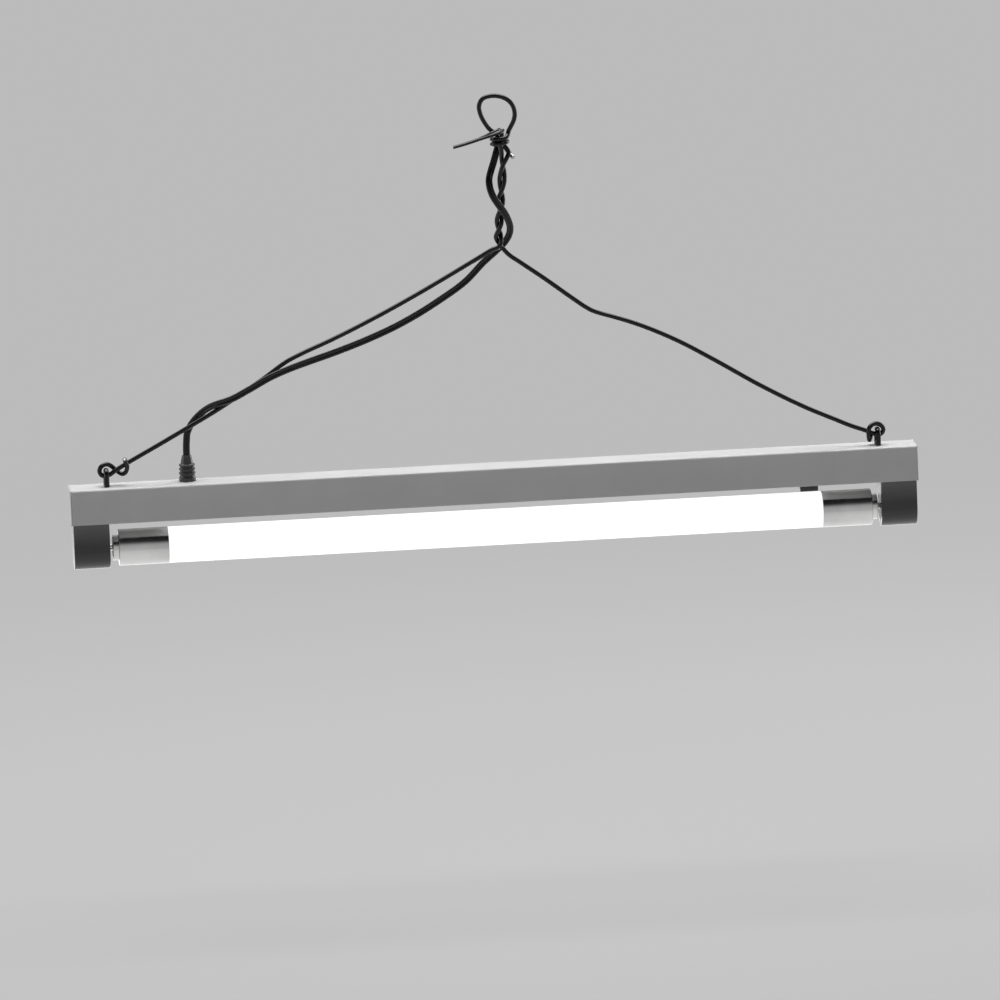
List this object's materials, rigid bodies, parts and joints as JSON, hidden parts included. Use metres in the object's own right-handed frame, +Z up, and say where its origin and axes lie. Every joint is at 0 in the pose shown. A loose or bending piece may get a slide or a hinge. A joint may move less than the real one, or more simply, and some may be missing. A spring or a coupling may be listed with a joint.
{
  "type": "hanging shop light",
  "caption": "Sheet-metal bar light with a glowing tube, hung on two stiff coated wires twisted together under a hanging loop, with a flat cord led up along them.",
  "frame": {"origin": "the point inside the top of the hanging loop where a hook bears", "axes": "+X along the bar to the right, +Y to the back, +Z up"},
  "size_m": [0.6524, 0.0316, 0.3509],
  "materials": {
    "sheet_white": "satin white enamel",
    "zinc_steel": "zinc plated",
    "eyelet_black": "gloss black coating",
    "wire_black": "gloss black coating on a steel core",
    "cord_black": "satin black jacket",
    "gland_black": "satin black",
    "holder_grey": "glossy grey",
    "rotor_grey": "satin",
    "contact_brass": "plain",
    "terminal_ivory": "satin ivory",
    "lead_blue": "satin",
    "lead_brown": "satin",
    "lead_black": "satin",
    "switch_black": "satin black",
    "knob_ivory": "satin",
    "tube_white": "frosted, glowing white",
    "cap_metal": "satin",
    "pin_brass": "plain",
    "insulator_ivory": "satin",
    "board_white": "white lacquer",
    "chip_yellow": "phosphor window",
    "board_green": "lacquered",
    "parts_dark": "mixed",
    "lead_red": "satin"
  },
  "bodies": {
    "hanger": {"hanger_wire_left": "wire_black", "hanger_wire_right": "wire_black", "power_cord": "cord_black"},
    "fixture": {"channel": "sheet_white", "end_plate_left": "sheet_white", "end_plate_right": "sheet_white", "bottom_cover": "sheet_white", "cover_brackets": "zinc_steel", "cover_screws": "zinc_steel", "eyelet_left": "eyelet_black", "eyelet_right": "eyelet_black", "eyelet_nuts": "zinc_steel", "lampholder_left": "holder_grey", "lampholder_right": "holder_grey", "holder_contacts_left": "contact_brass", "holder_contacts_right": "contact_brass", "holder_screws": "zinc_steel", "cord_gland": "gland_black", "gland_locknut": "gland_black", "cord_tail": "cord_black", "terminal_block": "terminal_ivory", "terminal_screws": "zinc_steel", "neutral_wire": "lead_blue", "live_wire": "lead_brown", "switched_wire": "lead_black", "switch_body": "switch_black", "switch_screws": "zinc_steel"},
    "tube": {"tube_glass": "tube_white", "led_board": "board_white", "led_chips": "chip_yellow", "end_cap_left": "cap_metal", "end_cap_right": "cap_metal", "pin_insulator_left": "insulator_ivory", "pin_insulator_right": "insulator_ivory", "end_pins_left": "pin_brass", "end_pins_right": "pin_brass", "driver_board": "board_green", "driver_parts": "parts_dark", "pin_leads": "lead_red", "rotor_left": "rotor_grey", "rotor_right": "rotor_grey"},
    "switch_knob": {"switch_knob": "knob_ivory"}
  },
  "joints": [
    {"name": "fixture_swing", "type": "hinge", "parent": "hanger", "child": "fixture", "pos_m": [-0.0135, 0, -0.2761], "axis": [1, 0, 0], "range_deg": [-30, 30], "deforming": ["power_cord"]},
    {"name": "tube_twist", "type": "hinge", "parent": "fixture", "child": "tube", "pos_m": [-0.0135, 0, -0.332], "axis": [1, 0, 0], "range_deg": [0, 90]},
    {"name": "switch_slide", "type": "slide", "parent": "fixture", "child": "switch_knob", "axis": [1, 0, 0], "range_m": [0, 0.004]}
  ]
}
